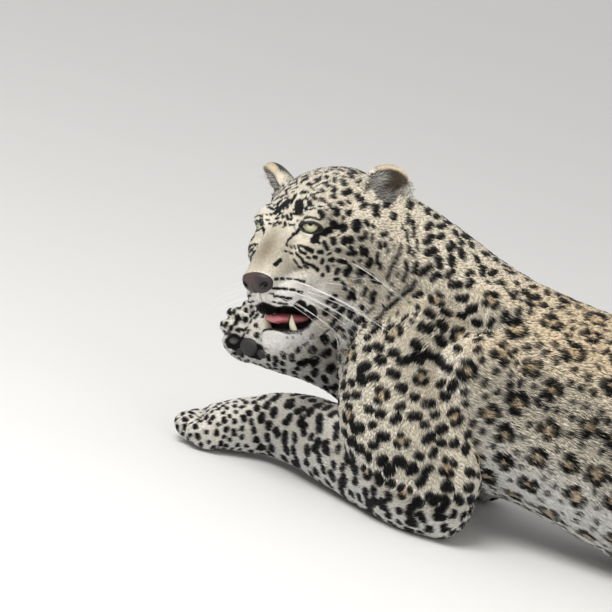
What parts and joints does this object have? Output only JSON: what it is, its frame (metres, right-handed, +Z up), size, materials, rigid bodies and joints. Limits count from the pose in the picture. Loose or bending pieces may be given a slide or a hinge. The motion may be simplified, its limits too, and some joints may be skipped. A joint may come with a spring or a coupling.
{
  "type": "leopard",
  "caption": "Spotted big cat lying on its belly with its head turned aside, mouth slightly open and one forepaw lifted; a still display animal",
  "frame": {"origin": "on the floor, under the middle of the whole animal's bounding box", "axes": "+Z up; the body lies along X with the head end at -X and the tail end at +X; the animal's left side faces -Y"},
  "size_m": [1.3018, 0.5482, 0.4011],
  "materials": {
    "coat": "short dense fur, tan with near-black spots and rosettes",
    "pale_coat": "short cream fur with small dark spots",
    "nose_skin": "moist pebbled dark pink-brown skin",
    "tongue": "moist pink flesh",
    "enamel": "ivory enamel, slightly stained",
    "eye": "wet glossy eye with a pale yellow-green iris"
  },
  "bodies": {
    "root": {"head": "coat", "jaw": "pale_coat", "nose": "nose_skin", "tongue": "tongue", "lower_canine_left": "enamel", "lower_canine_right": "enamel", "ear_left": "coat", "ear_right": "coat", "eye_left": "eye", "eye_right": "eye", "neck": "coat", "chest": "coat", "belly": "coat", "rump": "coat", "upper_arm_left": "coat", "upper_arm_right": "coat", "forearm_left": "coat", "forearm_right": "coat", "forepaw_left": "pale_coat", "forepaw_right": "pale_coat", "thigh_left": "coat", "thigh_right": "coat", "shank_left": "coat", "shank_right": "coat", "hind_paw_left": "pale_coat", "hind_paw_right": "pale_coat", "tail_1": "coat", "tail_2": "coat", "tail_3": "coat", "tail_4": "coat"}
  },
  "joints": []
}
